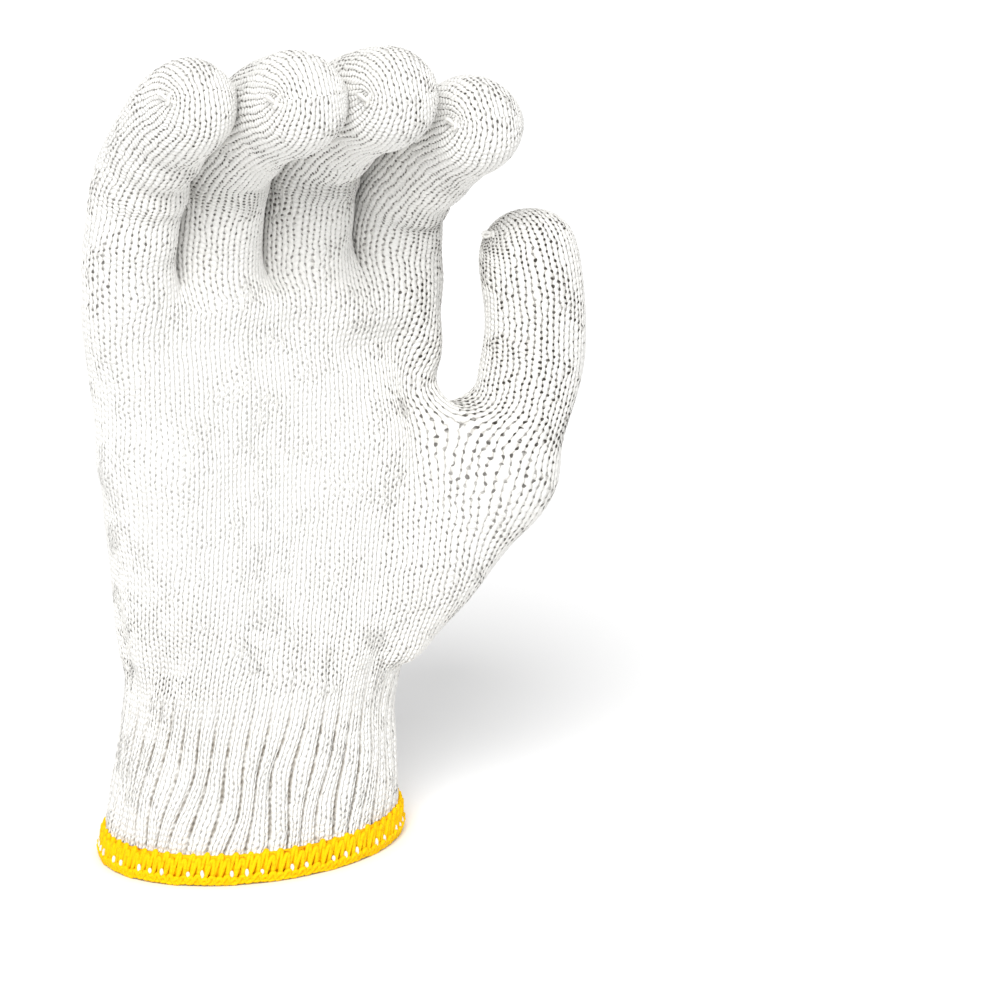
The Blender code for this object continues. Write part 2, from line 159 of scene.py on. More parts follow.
# Stitch columns on one side of the hand, and cage rows
FINGER_COLUMNS = (5, 5, 5, 4)
THUMB_COLUMNS = 5
PALM_COLUMNS = sum(FINGER_COLUMNS)
RING_COLUMNS = 2 * (PALM_COLUMNS + THUMB_COLUMNS)
CUFF_ROWS = 7
HEEL_ROWS = 10
LOWER_HEEL_ROWS = 7
KNUCKLE_ROWS = 6

# The fingers part at KNUCKLE_SHARE, a share of the palm's length. Across and forward are shares of the palm's
# width and thickness, lengths and widths of FINGER_LENGTH and FINGER_WIDTH, and angles are in degrees.
KNUCKLE_SHARE = 0.895
Finger = namedtuple("Finger", "name across forward length width tilt knuckle bend_1 bend_2 lean")
FINGERS = (
    Finger("little_finger", -0.318, 0.05, 0.82, 0.96, 8, 0.38, 34, 18, 7),
    Finger("ring_finger", -0.072, -0.03, 0.97, 1.00, 8, 0.34, 48, 17, 5),
    Finger("middle_finger", 0.176, -0.03, 0.97, 1.02, 8, 0.33, 49, 18, 4),
    Finger("index_finger", 0.424, 0.06, 0.79, 1.00, 9, 0.24, 43, 18, 7),
)

# Shares of a finger's length: where it has its tilt and lean, how far a bend spreads, and its second bend
TURN_IN = 0.20
BEND_SPREAD = 0.30
SECOND_KNUCKLE = 0.66

# The softly merged bones that fill the palm: places as shares of the palm's width, thickness and length,
# radii as shares of its thickness.
Bone = namedtuple("Bone", "x0 y0 z0 r0 x1 y1 z1 r1")
BONES = (
    Bone(-0.103, 0.00, -0.15, 0.77, -0.120, 0.00, 0.30, 0.56),
    Bone(0.178, 0.00, -0.15, 0.77, 0.190, 0.00, 0.30, 0.54),
    Bone(-0.175, -0.02, 0.15, 0.48, -0.316, -0.02, 0.86, 0.385),
    Bone(-0.100, 0.00, 0.15, 0.54, -0.205, 0.02, 0.77, 0.405),
    Bone(-0.030, 0.00, 0.15, 0.57, -0.075, 0.03, 0.88, 0.405),
    Bone(0.050, 0.00, 0.15, 0.58, 0.050, 0.03, 0.79, 0.405),
    Bone(0.130, 0.00, 0.15, 0.57, 0.175, 0.03, 0.89, 0.405),
    Bone(0.200, 0.00, 0.15, 0.52, 0.305, 0.01, 0.77, 0.405),
    Bone(0.260, -0.04, 0.15, 0.46, 0.430, -0.05, 0.86, 0.405),
    Bone(0.260, -0.24, 0.00, 0.50, 0.610, -0.76, 0.43, 0.440),
    Bone(0.610, -0.76, 0.43, 0.440, 0.680, -0.85, 0.68, 0.410),
    Bone(-0.150, -0.14, 0.05, 0.50, -0.235, -0.14, 0.50, 0.470),
    Bone(0.120, -0.20, 0.05, 0.44, 0.300, -0.30, 0.50, 0.400),
)
BONE_BLEND = 0.10
CROTCH_SPREAD = 1.9

# The palm's soft creases: ends across and up as shares of the palm's width and length, width as a share of
# its length, depth of its thickness. A negative depth is a pad between creases.
Crease = namedtuple("Crease", "x0 z0 x1 z1 width depth")
CREASES = (
    Crease(-0.34, 0.79, 0.40, 0.71, 0.035, 0.045),
    Crease(-0.30, 0.86, 0.44, 0.80, 0.030, -0.030),
    Crease(0.30, 0.70, 0.44, 0.58, 0.045, 0.060),
    Crease(0.02, 0.20, 0.30, 0.56, 0.050, 0.025),
    Crease(-0.24, 0.835, 0.10, 0.78, 0.020, 0.055),
    Crease(0.08, 0.790, 0.44, 0.69, 0.022, 0.080),
    Crease(0.385, 0.755, 0.425, 0.64, 0.038, 0.130),
    Crease(0.475, 0.720, 0.500, 0.60, 0.038, -0.090),
    Crease(0.40, 0.600, 0.30, 0.46, 0.030, 0.022),
    Crease(-0.45, 0.10, -0.36, 0.30, 0.025, 0.020),
    Crease(-0.32, 0.03, -0.20, 0.20, 0.022, 0.022),
    Crease(0.20, 0.02, 0.30, 0.22, 0.022, 0.012),
)
WRIST_SOFTNESS = 0.014
WRIST_ROUNDS = 5
GATHER_DEPTH = 0.0014
GATHER_HEIGHT = 0.016
GATHER_COLUMNS = 3
GATHER_UNEVENNESS = (0.7, 0.37)
SLACK_DEPTH = 0.0007
SLACK_PITCH = 0.013
SLACK_FINER = 2.3
PALM_FACING = 0.7
RELAX_ROUNDS = 90

# The thumb's path: its foot as shares of the palm, and its leans from upright, in degrees.
THUMB_FOOT = (0.648, -0.80, 0.52)
THUMB_LEAN_FOOT = 17
THUMB_LEAN_TIP = -4
THUMB_TILT_FOOT = 6
THUMB_TILT_TIP = -8
THUMB_LEAN_SPREAD = 0.7
THUMB_CROTCH = ((0.475, -0.76, 0.560), (0.505, -0.46, 0.600), (0.510, -0.10, 0.560))

# The knitted pieces in the order of their numbers on the cage, and the part's node that each stands for
CUFF, HEEL, GUSSET, PALM, LITTLE, RING, MIDDLE, INDEX, THUMB = range(9)
PIECES = {
    CUFF: ("cuff_knit", "rib_cuff"),
    HEEL: ("heel_knit", "palm_body"),
    GUSSET: ("gusset_knit", "palm_body"),
    PALM: ("palm_knit", "palm_body"),
    LITTLE: ("little_finger_knit", "little_finger"),
    RING: ("ring_finger_knit", "ring_finger"),
    MIDDLE: ("middle_finger_knit", "middle_finger"),
    INDEX: ("index_finger_knit", "index_finger"),
    THUMB: ("thumb_knit", "thumb"),
}
REFINE = 4
PASS_LIMIT = 0.0005

# Colours and finish
COTTON_ROUGHNESS = 0.92
COTTON_SHEEN = 0.1
YARN_ROUGHNESS = 0.8
YARN_GLOSS = 0.15
COTTON_COLOUR = (0.82, 0.815, 0.795)
COTTON_WARM = (0.85, 0.84, 0.81)
# Painted shade, laid in the knit's grooves and between the plies of the white thread
COTTON_PAINTED_SHADE = (0.36, 0.33, 0.28)
# Painted shade: the dark inside of the glove as seen through the pinholes
PINHOLE_SHADE_COLOUR = (0.040, 0.034, 0.028)
# Painted shade in the grooves between the cuff's ribs
RIB_GROOVE_SHADE = (0.23, 0.19, 0.14)
YARN_COLOUR = (1.0, 0.63, 0.0)
# A deeper orange: random tone on the loops, and painted shade on the core where it shows between them
YARN_DEEP_TONE_AND_SHADE = (0.88, 0.38, 0.0)
# Painted shade between the yarn's plies
YARN_PAINTED_SHADE = (0.50, 0.15, 0.0)
STITCH_BUMP = 0.00030
FUZZ_SCALE = 1700.0
PLY_SCALE = 900.0
PATCH_SCALE = 60.0

# How far the stitches stray from their places: a noise's scale, and its reach in stitches
STITCH_WAVER = ((520.0, 0.42), (110.0, 0.70))

# The pinholes and groove lines are weaker round the middle of the palm, a painted highlight, and stronger and
# wider round the thumb, where the knit is stretched open and painted shade darkens it: places, and the
# distances between which it changes, in metres.
PALM_PAINTED_HIGHLIGHT = (-0.012, -0.016, 0.098)
PALM_HIGHLIGHT_REACH = (0.022, 0.060)
THUMB_STRETCH_AND_SHADE = (0.062, -0.028, 0.125)
THUMB_STRETCH_AND_SHADE_REACH = (0.050, 0.020)

# Where a pinhole's painted shade begins and is full, each with how much the stretch-and-shade mask widens it
PINHOLE_EDGE = (0.42, -0.04)
PINHOLE_HEART = (0.66, -0.08)
PINHOLE_PATCH_SCALE = 30.0
# How dark the painted shade in the pinholes gets, on the knit and on the cuff
PINHOLE_SHADE_DARKNESS = 0.97
RIB_PINHOLE_SHADE_DARKNESS = 0.60
GROOVE_SHARPNESS = 2.5

# The painted shade in the grooves between the ribs: where across a rib it ends, how strong it is, how it
# breaks up, and the share of the cuff's height from which it fades
RIB_SHADE_SPAN = (0.03, 0.13)
RIB_SHADE_STRENGTH = 0.8
RIB_SHADE_BREAK_SCALE = 420.0
RIB_SHADE_TOP = 0.72

# View and light
VIEW_AZIMUTH = math.radians(-28)
VIEW_ELEVATION = math.radians(16.8)
VIEW_DISTANCE = 1.0
FOCAL_PIXELS = 4250
IMAGE_PIXELS = 999
SENSOR = 36.0
AIM_RIGHT = 0.05824
AIM_UP = 0.07965
FLOOR_COLOUR = (0.97, 0.97, 0.97, 1)
ROOM_LIGHT = 0.68
KEY_LIGHT = 2.45
KEY_SPREAD = math.radians(32)
KEY_FROM = (-0.56, -0.84, 0.92)


def smooth(value):
    value = min(max(value, 0.0), 1.0)
    return value * value * (3 - 2 * value)


def mix(low, high, share):
    return low + (high - low) * share


def palm_point(x, y, z):
    """A place given as shares of the palm's width, thickness and length above the cuff."""
    return Vector((x * PALM_WIDTH, y * PALM_THICKNESS, CUFF_HEIGHT + z * PALM_LENGTH))


def wrist_point(turn, height, grow=0.0):
    """A point of the cuff's outer face: turn 0 to 1 from the little finger's side round by the palm."""
    share = height / CUFF_HEIGHT
    flare = 1 - smooth(share / RIM_FLARE)
    width = mix(WRIST_WIDTH, RIM_WIDTH, flare) / 2 + grow
    depth = mix(WRIST_DEPTH, RIM_DEPTH, flare) / 2 + grow
    angle = 2 * math.pi * turn - CUFF_TWIST * (1 - share)
    return Vector((WRIST_SHIFT * share - width * math.cos(angle), -depth * math.sin(angle), height))


def rib_wander(column, row):
    """How far a rib strays sideways, as a share of its width; the columns at the start and end agree."""
    turn = 2 * math.pi * column / RING_COLUMNS
    return RIB_WANDER * (math.sin(5 * turn + 1.1 * row) + 0.6 * math.sin(13 * turn - 0.9 * row))


def new_object(name, mesh):
    thing = bpy.data.objects.new(name, mesh)
    bpy.context.collection.objects.link(thing)
    return thing


def new_piece(name, shape):
    """A smooth-shaded object of a finished bmesh, which is freed."""
    mesh = bpy.data.meshes.new(name)
    shape.to_mesh(mesh)
    shape.free()
    mesh.shade_smooth()
    return new_object(name, mesh)


# The cage, knitted row by row

def new_ring(cage, points):
    made = bmesh.ops.create_circle(cage, segments=len(points), radius=WRIST_WIDTH)["verts"]
    ring = [made[0]]
    while len(ring) < len(made):
        ring.append(next(e.other_vert(ring[-1]) for e in ring[-1].link_edges
                         if e.other_vert(ring[-1]) not in ring[-2:]))
    place(ring, points)
    return ring


def place(ring, points):
    for vert, point in zip(ring, points):
        vert.co = point


def add_row(cage, ring, piece, row):
    """Knits one more cage row on a closed ring and gives back the new ring in the same order."""
    turned = ring[1:] + ring[:1]
    edges = [cage.edges.get(pair) for pair in zip(ring, turned)]
    made = bmesh.ops.extrude_edge_only(cage, edges=edges)["geom"]
    fresh = {vert for vert in made if isinstance(vert, bmesh.types.BMVert)}
    grown = [next(e.other_vert(v) for e in v.link_edges if e.other_vert(v) in fresh) for v in ring]
    piece_layer = cage.faces.layers.int["piece"]
    stitch_layer = cage.loops.layers.uv["stitches"]
    for column, edge in enumerate(edges):
        face = next(face for face in edge.link_faces if fresh.intersection(face.verts))
        face[piece_layer] = piece
        follower = (column + 1) % len(ring)
        corners = {ring[column]: (0, 0), ring[follower]: (1, 0),
                   grown[column]: (0, 1), grown[follower]: (1, 1)}
        for loop in face.loops:
            across, up = corners[loop.vert]
            loop[stitch_layer].uv = (WALES * (column + across), COURSES * (row + up))
    return grown


# Fingers

def finger_angles(count, start):
    step = 2 * math.pi / count
    return [start + step * index for index in range(count)]


def tube_path(foot, length, tilt_at, lean_at, samples=60):
    """The centre line from foot: places and directions at even steps, leaning by angles in degrees."""
    places, directions = [Vector(foot)], []
    for index in range(samples + 1):
        share = index / samples
        tilt, lean = math.radians(tilt_at(share)), math.radians(lean_at(share))
        along = Vector((math.sin(lean) * math.cos(tilt), -math.sin(tilt), math.cos(lean) * math.cos(tilt)))
        directions.append(along)
        if index < samples:
            places.append(places[-1] + along * length / samples)
    return places, directions


def finger_path(finger):
    foot = palm_point(finger.across, -finger.forward, KNUCKLE_SHARE)
    length = FINGER_LENGTH * finger.length

    def bend(share, centre):
        return smooth((share - centre) / BEND_SPREAD + 0.5)

    def tilt(share):
        knuckles = finger.bend_1 * bend(share, finger.knuckle) + finger.bend_2 * bend(share, SECOND_KNUCKLE)
        return finger.tilt * smooth(share / TURN_IN) + knuckles

    return tube_path(foot, length, tilt, lambda share: finger.lean * smooth(share / TURN_IN))


def thumb_path():
    def tilt(share):
        return mix(THUMB_TILT_FOOT, THUMB_TILT_TIP, smooth(share))

    def lean(share):
        return mix(THUMB_LEAN_FOOT, THUMB_LEAN_TIP, smooth(share / THUMB_LEAN_SPREAD))

    return tube_path(palm_point(*THUMB_FOOT), THUMB_LENGTH, tilt, lean)


def tube_ring(path, share, angles, width, depth):
    """The points of a tube's ring at a share of its length."""
    places, directions = path
    index = round(share * (len(places) - 1))
    along = directions[index]
    side = Vector((1, 0, 0))
    side = (side - along * side.dot(along)).normalized()
    front = side.cross(along).normalized()
    centre = places[index]
    return [centre + side * math.sin(a) * width / 2 + front * math.cos(a) * depth / 2 for a in angles]


def tip_ring(path, share, turn, angles, width):
    """A ring of the rounded tip, turn degrees from the tube's last full ring towards the end."""
    deep = math.cos(math.radians(turn))
    wide = mix(deep, 1.0, TIP_SQUARENESS)
    flat = tube_ring(path, share, angles, width * wide, width * TUBE_DEPTH * deep)
    along = path[1][round(share * (len(path[0]) - 1))]
    rises = [math.sqrt(1 - (math.sin(a) * wide) ** 2 - (math.cos(a) * deep) ** 2) for a in angles]
    return [point + along * rise * TIP_LENGTH * width for point, rise in zip(flat, rises)]


def bend_folds(points, angles, centre, share, length, knuckle):
    """Gathers the inside of a bend into soft folds."""
    from_knuckle = (share - knuckle) * length
    reach = math.exp(-(from_knuckle / (FOLD_REACH * FOLD_PITCH)) ** 2)
    height = FOLD_DEPTH * reach * math.cos(2 * math.pi * from_knuckle / FOLD_PITCH)
    return [point + (point - centre).normalized() * height * max(math.cos(angle), 0.0)
            for point, angle in zip(points, angles)]


def knit_tube(cage, ring, path, length, width, angles, piece, knuckle=None):
    """Knits a tube on its first ring, up to the last ring before its tip is closed."""
    straight = 1 - TIP_LENGTH * width / length
    rows = max(round(length * straight / ROW_HEIGHT), 4)
    for row in range(1, rows + 1):
        ring = add_row(cage, ring, piece, row - 1)
        share = straight * row / rows
        points = tube_ring(path, share, angles, width, width * TUBE_DEPTH)
        if knuckle is not None:
            centre = sum(points, Vector()) / len(points)
            points = bend_folds(points, angles, centre, share, length, knuckle)
        place(ring, points)
    for row, turn in enumerate(TIP_TURNS, rows):
        ring = add_row(cage, ring, piece, row)
        place(ring, tip_ring(path, straight, turn, angles, width))
    return ring


def close_tip(cage, pairs):
    """Joins the front of a tip to its back, stitch by stitch."""
    for front, back in pairs:
        front.co = (front.co + back.co) / 2
    bmesh.ops.weld_verts(cage, targetmap={back: front for front, back in pairs})


# The softly merged bones

def bone_arrays():
    starts = np.array([palm_point(b.x0, b.y0, b.z0) for b in BONES])
    ends = np.array([palm_point(b.x1, b.y1, b.z1) for b in BONES])
    radii = np.array([(b.r0, b.r1) for b in BONES]) * PALM_THICKNESS
    return starts, ends, radii


def to_surface(points, bones):
    """Moves points onto the surface of the softly merged bones."""
    starts, ends, radii = bones
    blend = BONE_BLEND * PALM_THICKNESS
    spans = ends - starts
    for _ in range(3):
        share = np.einsum("pbi,bi->pb", points[:, None] - starts, spans) / np.einsum("bi,bi->b", spans, spans)
        share = np.clip(share, 0, 1)
        away = points[:, None] - (starts + share[..., None] * spans)
        reach = np.linalg.norm(away, axis=2)
        depth = reach - (radii[:, 0] + share * (radii[:, 1] - radii[:, 0]))
        nearest = depth.min(axis=1, keepdims=True)
        weight = np.exp((nearest - depth) / blend)
        total = weight.sum(axis=1, keepdims=True)
        value = nearest[:, 0] - blend * np.log(total[:, 0])
        slope = np.einsum("pb,pbi->pi", weight / total, away / reach[..., None])
        points = points - (value / np.einsum("pi,pi->p", slope, slope))[:, None] * slope
    return points


def relax(free):
    """Evens out the free rows of the palm and keeps them on the merged bones."""
    bones = bone_arrays()
    for _ in range(RELAX_ROUNDS):
        means = [sum((e.other_vert(v).co for e in v.link_edges), Vector()) / len(v.link_edges) for v in free]
        points = to_surface(np.array([v.co.lerp(mean, 0.5) for v, mean in zip(free, means)]), bones)
        for vert, point in zip(free, points):
            vert.co = Vector(point)


# The whole knitted skin

def palm_row(knuckles, thumb_ring):
    """The first guess of the row at the thumb's crotch, which relax then evens out."""
    level = CUFF_HEIGHT + PALM_LENGTH * THUMB_CROTCH[0][2]
    points = {index: Vector((point.x, point.y, level)) for index, point in knuckles.items()}
    points.update(thumb_ring)
    return points


def finger_feet():
    """The rings where the fingers part, as places by column, and what each finger is knitted from."""
    back = RING_COLUMNS
    edges = [sum(FINGER_COLUMNS[:index]) for index in range(len(FINGER_COLUMNS) + 1)]
    knuckles, feet = {}, []
    for number, finger in enumerate(FINGERS):
        low, high = edges[number], edges[number + 1]
        rear = list(range(back - high, back - low + 1))
        if number == 0:
            rear = rear[:-1]
        order = list(range(low, high + 1)) + (["crotch"] if number == 3 else []) + rear
        step = 2 * math.pi / len(order)
        angles = finger_angles(len(order), -math.pi / 2 if number == 0 else -math.pi / 2 + step / 2)
        width = FINGER_WIDTH * finger.width
        path = finger_path(finger)
        feet.append((order, angles, path, width))
        for index, point in zip(order, tube_ring(path, 0, angles, width, width * TUBE_DEPTH)):
            knuckles[index] = (knuckles[index] + point) / 2 if index in knuckles else point
    splits = edges[1:-1]
    for split in splits:
        for index in (split, back - split):
            knuckles[index].y *= CROTCH_SPREAD
    return knuckles, feet, splits


def knit_cage():
    """The whole cage: cuff, heel, palm, fingers and thumb, with each face's piece and stitch coordinates."""
    cage = bmesh.new()
    cage.faces.layers.int.new("piece")
    cage.loops.layers.uv.new("stitches")
    back = RING_COLUMNS
    palm_side, back_side = PALM_COLUMNS, PALM_COLUMNS + 2 * THUMB_COLUMNS
    knuckles, feet, splits = finger_feet()
    thumb_order = list(range(palm_side, back_side + 1)) + ["crotch"]
    step = 2 * math.pi / len(thumb_order)
    thumb_angles = finger_angles(len(thumb_order), -math.pi / 2 + step)
    thumb_points = tube_ring(thumb_path(), 0, thumb_angles, THUMB_WIDTH, THUMB_WIDTH)
    split_row = palm_row(knuckles, dict(zip(thumb_order, thumb_points)))
    split_row[palm_side], split_row["crotch"], split_row[back_side] = [palm_point(*p) for p in THUMB_CROTCH]

    # The cuff, and the heel up to the thumb's crotch
    ring = new_ring(cage, [wrist_point(index / back, 0) for index in range(back)])
    for row in range(CUFF_ROWS):
        ring = add_row(cage, ring, CUFF, row)
        height = CUFF_HEIGHT * (row + 1) / CUFF_ROWS
        place(ring, [wrist_point((index + rib_wander(index, row)) / back, height) for index in range(back)])
    wrist = [vert.co.copy() for vert in ring]
    fixed = set(cage.verts)
    for row in range(1, HEEL_ROWS + 1):
        ring = add_row(cage, ring, HEEL if row <= LOWER_HEEL_ROWS else GUSSET, CUFF_ROWS + row - 1)
        share = row / HEEL_ROWS
        place(ring, [wrist[index].lerp(split_row[index], share) for index in range(back)])
    heel = ring
    middle = cage.verts.new(split_row["crotch"])
    cage.edges.new((heel[palm_side], middle))
    cage.edges.new((middle, heel[back_side]))

    # The palm, from the thumb's crotch to the fingers
    order = list(range(palm_side + 1)) + ["crotch"] + list(range(back_side, back))
    ring = [middle if index == "crotch" else heel[index] for index in order]
    thumb_ring = heel[palm_side:back_side + 1] + [middle]
    for row in range(1, KNUCKLE_ROWS + 1):
        ring = add_row(cage, ring, PALM, CUFF_ROWS + HEEL_ROWS + row - 1)
        share = row / KNUCKLE_ROWS
        place(ring, [split_row[index].lerp(knuckles[index], share) for index in order])
    top = dict(zip(order, ring))
    fixed.update(ring)
    free = [vert for vert in cage.verts if vert not in fixed]
    for split in splits:
        cage.edges.new((top[split], top[back - split]))

    # The fingers and the thumb
    for number, (order, angles, path, width) in enumerate(feet):
        ring = [top[index] for index in order]
        length = FINGER_LENGTH * FINGERS[number].length
        ring = knit_tube(cage, ring, path, length, width, angles, LITTLE + number, FINGERS[number].knuckle)
        half = len(ring) // 2
        if number == 0:
            pairs = [(ring[index], ring[len(ring) - index]) for index in range(1, half + 1)]
        else:
            pairs = [(ring[index], ring[len(ring) - 1 - index]) for index in range(half)]
        close_tip(cage, pairs)
    ring = knit_tube(cage, thumb_ring, thumb_path(), THUMB_LENGTH, THUMB_WIDTH, thumb_angles, THUMB)
    close_tip(cage, [(ring[index], ring[len(ring) - 2 - index]) for index in range(THUMB_COLUMNS)])
    relax(free)
    soften_wrist(cage)
    face_outwards(cage)
    shape_palm(cage)
    return cage


def soften_wrist(cage):
    """Lets the cuff run softly into the heel."""
    verts = [v for v in cage.verts if abs(v.co.z - CUFF_HEIGHT) < WRIST_SOFTNESS and not v.is_boundary]
    for _ in range(WRIST_ROUNDS):
        bmesh.ops.smooth_vert(cage, verts=verts, factor=0.5,
                              use_axis_x=True, use_axis_y=True, use_axis_z=False)


def face_outwards(cage):
    """Turns all faces of the cage away from its inside."""
    bmesh.ops.recalc_face_normals(cage, faces=cage.faces)
    cage.normal_update()
    centre = sum((vert.co for vert in cage.verts), Vector()) / len(cage.verts)
    if sum(face.normal.dot(face.calc_center_median() - centre) * face.calc_area() for face in cage.faces) < 0:
        bmesh.ops.reverse_faces(cage, faces=cage.faces)
        cage.normal_update()


def crease_depth(spot, crease):
    start = Vector((crease.x0 * PALM_WIDTH, crease.z0 * PALM_LENGTH))
    end = Vector((crease.x1 * PALM_WIDTH, crease.z1 * PALM_LENGTH))
    spot, span = Vector((spot.x, spot.z - CUFF_HEIGHT)), end - start
    share = min(max((spot - start).dot(span) / span.dot(span), 0), 1)
    away = (spot - start - span * share).length / (crease.width * PALM_LENGTH)
    return crease.depth * PALM_THICKNESS * math.exp(-away * away)


def shape_palm(cage):
    """Presses the creases into the palm and gathers the knit above the cuff."""
    layer = cage.faces.layers.int["piece"]
    moves = {}
    for vert in cage.verts:
        if any(face[layer] not in (HEEL, GUSSET, PALM) for face in vert.link_faces):
            continue
        facing = smooth(0.5 - vert.normal.y * PALM_FACING)
        depth = sum(crease_depth(vert.co, crease) for crease in CREASES) * facing
        turn = math.atan2(-vert.co.y, WRIST_SHIFT - vert.co.x) * RING_COLUMNS / GATHER_COLUMNS
        share, pace = GATHER_UNEVENNESS
        gather = GATHER_DEPTH * (1 + share * math.sin(pace * turn + 1)) * math.cos(turn)
        depth += gather * math.exp(-(vert.co.z - CUFF_HEIGHT) / GATHER_HEIGHT)
        moves[vert] = -vert.normal * depth
    for vert in cage.verts:
        uneven = noise.noise(vert.co / SLACK_PITCH) + 0.5 * noise.noise(vert.co * SLACK_FINER / SLACK_PITCH)
        moves[vert] = moves.get(vert, Vector()) + vert.normal * SLACK_DEPTH * uneven
    for vert, move in moves.items():
        vert.co += move


def limit_place(vert):
    """Where the refined surface passes a cage vertex."""
    if vert.is_boundary:
        sides = [e.other_vert(vert).co for e in vert.link_edges if e.is_boundary]
        return (vert.co * 4 + sides[0] + sides[1]) / 6
    count = len(vert.link_edges)
    near = sum((e.other_vert(vert).co for e in vert.link_edges), Vector())
    far = sum((v.co for f in vert.link_faces for v in f.verts if v is not vert), Vector())
    far -= sum((e.other_vert(vert).co for e in vert.link_edges for f in e.link_faces), Vector())
    return (vert.co * count * count + near * 4 + far) / (count * (count + 5))


def pass_through(cage, rounds=2):
    """Moves the cage out so that the refined surface passes through the places it was knitted at."""
    wanted = {vert: vert.co.copy() for vert in cage.verts}
    for _ in range(rounds):
        moves = {vert: wanted[vert] - limit_place(vert) for vert in cage.verts}
        for vert, move in moves.items():
            vert.co += move * min(1, PASS_LIMIT / max(move.length, PASS_LIMIT))


# Stitch relief

def refine(cage):
    """The cage as one fine mesh."""
    mesh = bpy.data.meshes.new("cage")
    cage.to_mesh(mesh)
    thing = new_object("cage", mesh)
    finer = thing.modifiers.new("finer", "SUBSURF")
    finer.levels = finer.render_levels = REFINE
    finer.uv_smooth = "NONE"
    fine = bpy.data.meshes.new_from_object(thing.evaluated_get(bpy.context.evaluated_depsgraph_get()))
    bpy.data.objects.remove(thing)
    return fine


def read(collection, name, width, kind=np.float32):
    values = np.zeros(len(collection) * width, kind)
    collection.foreach_get(name, values)
    return values.reshape(-1, width) if width > 1 else values


def stitch_height(across, along):
    """The relief of plain knitting: two slanting legs a wale, and a pinhole where four legs meet."""
    side = np.abs(across % 1 - 0.5) * 2
    leg = np.abs(np.sin(2 * math.pi * across))
    phase = np.cos(2 * math.pi * (along - WALE_SLANT * side))
    hole = (1 - leg) * (0.5 - 0.5 * phase)
    beads = 1 - LEG_BEADING + LEG_BEADING * phase
    return STITCH_RELIEF * (np.sqrt(leg) * beads) - PINHOLE_DEPTH * hole


def rib_height(across, height):
    """How deep the cuff's grooves lie, one for each cage column."""
    rise = np.clip((height - RIB_START) / RIB_RISE, 0, 1)
    fall = 1 - np.clip((height / CUFF_HEIGHT - RIB_FADE_FROM) / RIB_FADE, 0, 1)
    from_groove = np.abs(across % WALES - WALES / 2)
    return -RIB_DEPTH * rise * fall * np.exp(-(from_groove / (WALES * RIB_GROOVE_WIDTH)) ** 2)


def raise_stitches(fine):
    places = read(fine.vertices, "co", 3)
    normals = read(fine.vertex_normals, "vector", 3)
    corner_vert = read(fine.loops, "vertex_index", 1, np.int32)
    stitches = read(fine.uv_layers["stitches"].uv, "vector", 2)
    across, along = stitches[:, 0], stitches[:, 1]
    height = stitch_height(across, along) + rib_height(across, places[corner_vert, 2])
    total = np.bincount(corner_vert, weights=height, minlength=len(places))
    count = np.bincount(corner_vert, minlength=len(places))
    places += normals * (total / count)[:, None]
    fine.vertices.foreach_set("co", places.astype(np.float32).ravel())
    fine.update()


def part_pieces(fine):
    """Parts the fine mesh into the knitted pieces, one object each."""
    for _ in PIECES:
        fine.materials.append(None)
    pieces = read(fine.attributes["piece"].data, "value", 1, np.int32)
    fine.polygons.foreach_set("material_index", pieces)
    whole = new_object("knit", fine)
    for thing in bpy.context.selected_objects:
        thing.select_set(False)
    bpy.context.view_layer.objects.active = whole
    whole.select_set(True)
    bpy.ops.object.mode_set(mode="EDIT")
    bpy.ops.mesh.separate(type="MATERIAL")
    bpy.ops.object.mode_set(mode="OBJECT")
    parted = {}
    for thing in [o for o in bpy.context.selected_objects if o.type == "MESH"]:
        piece = thing.data.attributes["piece"].data[0].value
        thing.name = thing.data.name = PIECES[piece][0]
        thing.data.materials.clear()
        thing.select_set(False)
        parted[piece] = thing
    return parted


def inside_face(cage):
    """The plain inner face of the whole knit, a wall's thickness within."""
    inner = cage.copy()
    inner.normal_update()
    moves = {vert: -vert.normal * WALL for vert in inner.verts}
    for vert, move in moves.items():
        vert.co += move
    bmesh.ops.reverse_faces(inner, faces=inner.faces)
    thing = new_piece("inside_knit", inner)
    finer = thing.modifiers.new("finer", "SUBSURF")
    finer.levels = finer.render_levels = 1
    finer.uv_smooth = "NONE"
    return thing


# Overlock seam

def seam_thread(name, points, radius):
    """A closed thread through the given points, as a mesh tube."""
    curve = bpy.data.curves.new(name, "CURVE")
    curve.dimensions = "3D"
    curve.bevel_depth = radius
    curve.bevel_resolution = 1
    line = curve.splines.new("POLY")
    line.points.add(len(points) - 1)
    for knot, point in zip(line.points, points):
        knot.co = (*point, 1)
    line.use_cyclic_u = True
    thing = bpy.data.objects.new(name, curve)
    mesh = bpy.data.meshes.new_from_object(thing)
    bpy.data.objects.remove(thing)
    return mesh


def seam_wave(thread, base=0.0):
    """The places of a thread that climbs from low to high and back once a stitch, in rounded loops."""
    out = SEAM_GAP + SEAM_YARN
    points = []
    for index in range(SEAM_STITCHES * LOOP_STEPS):
        turn = index / (SEAM_STITCHES * LOOP_STEPS)
        angle = 2 * math.pi * (index / LOOP_STEPS + thread.phase)
        rise = 0.5 - 0.5 * math.tanh(LOOP_SQUARENESS * math.cos(angle)) / math.tanh(LOOP_SQUARENESS)
        slow, fast = SEAM_WANDER_PACE
        wander = SEAM_WANDER * math.sin(slow * angle / SEAM_STITCHES) * math.sin(fast * angle)
        lean = LOOP_LEAN * math.sin(angle) / SEAM_STITCHES
        height = mix(thread.low, SEAM_HEIGHT * thread.high, rise) + wander
        outside = base + out * mix(thread.out_low, thread.out_high, rise)
        points.append(wrist_point(turn + lean, height, outside))
    return points


